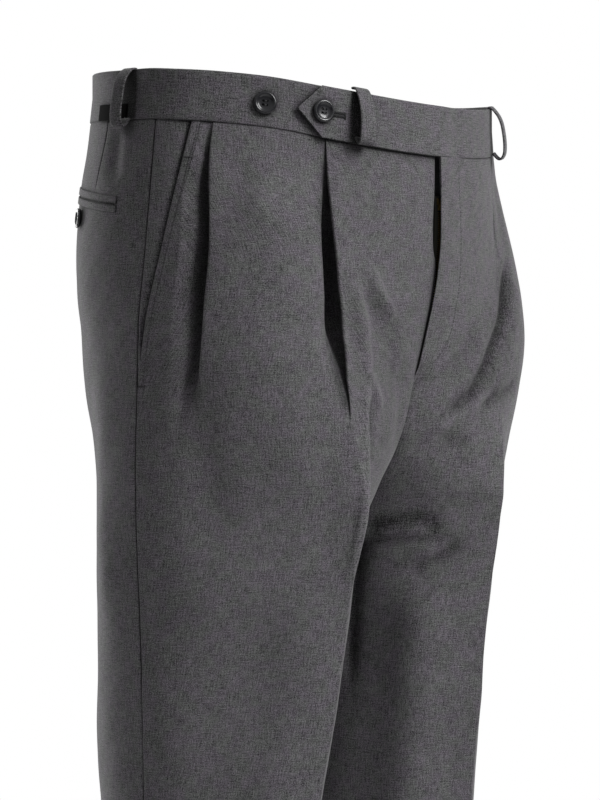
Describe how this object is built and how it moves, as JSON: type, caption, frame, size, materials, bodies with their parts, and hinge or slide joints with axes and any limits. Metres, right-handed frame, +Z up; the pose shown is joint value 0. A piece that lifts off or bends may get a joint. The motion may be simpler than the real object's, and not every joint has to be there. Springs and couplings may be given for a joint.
{
  "type": "pleated dress trousers",
  "caption": "Worn-form dress trousers with double reverse pleats, slant pockets, buttoned pointed waistband tab, belt loops, welted back pockets and straight creased legs",
  "frame": {"origin": "on the garment's vertical middle line, half way up the waistband at the side seams, where the wearer's waist holds it", "axes": "+Z up along the wearer's height, -Y the way the wearer faces, +X the wearer's left"},
  "size_m": [0.3618, 0.2777, 1.1143],
  "materials": {
    "charcoal_wool": "matte, fine melange twill",
    "black_button": "glossy, moulded",
    "antique_brass": "dark satin",
    "black_weave": "matte woven tape"
  },
  "bodies": {
    "root": {"back_button_left": "black_button", "back_button_right": "black_button", "back_left": "charcoal_wool", "back_right": "charcoal_wool", "back_welt_lower_left": "charcoal_wool", "back_welt_lower_right": "charcoal_wool", "back_welt_upper_left": "charcoal_wool", "back_welt_upper_right": "charcoal_wool", "belt_loop_back": "charcoal_wool", "belt_loop_front_left": "charcoal_wool", "belt_loop_front_right": "charcoal_wool", "belt_loop_side_left": "charcoal_wool", "belt_loop_side_right": "charcoal_wool", "front_left": "charcoal_wool", "front_right": "charcoal_wool", "pocket_facing_left": "charcoal_wool", "pocket_facing_right": "charcoal_wool", "side_label": "black_weave", "waist_button": "black_button", "waist_button_spare": "black_button", "waistband_left": "charcoal_wool", "waistband_right": "charcoal_wool", "zip_chain": "antique_brass", "zip_slider": "antique_brass", "zip_tape": "black_weave"}
  },
  "joints": []
}
